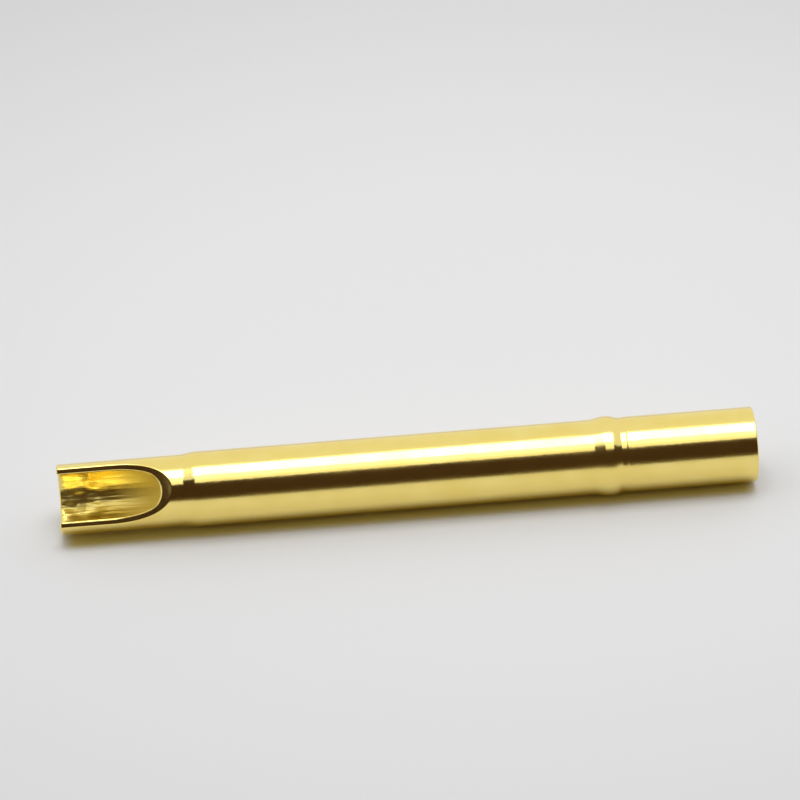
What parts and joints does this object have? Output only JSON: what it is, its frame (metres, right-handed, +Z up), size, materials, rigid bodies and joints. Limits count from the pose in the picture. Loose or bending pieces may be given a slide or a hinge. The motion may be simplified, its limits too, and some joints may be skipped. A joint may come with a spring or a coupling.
{
  "type": "pogo pin receptacle",
  "caption": "Slim turned metal tube with a blind bore for a spring-loaded probe, a press ring near its mouth and a scooped solder cup at its far end.",
  "frame": {"origin": "centre of the open mouth, on the axis of the probe bore", "axes": "+X along the tube and out of its mouth, +Z up as it lies on its side; the scoop of the solder cup faces between +Z and -Y"},
  "size_m": [0.0218, 0.0024, 0.0024],
  "materials": {
    "gold_plated_brass": "polished gold plating"
  },
  "bodies": {
    "root": {"receptacle": "gold_plated_brass"}
  },
  "joints": []
}
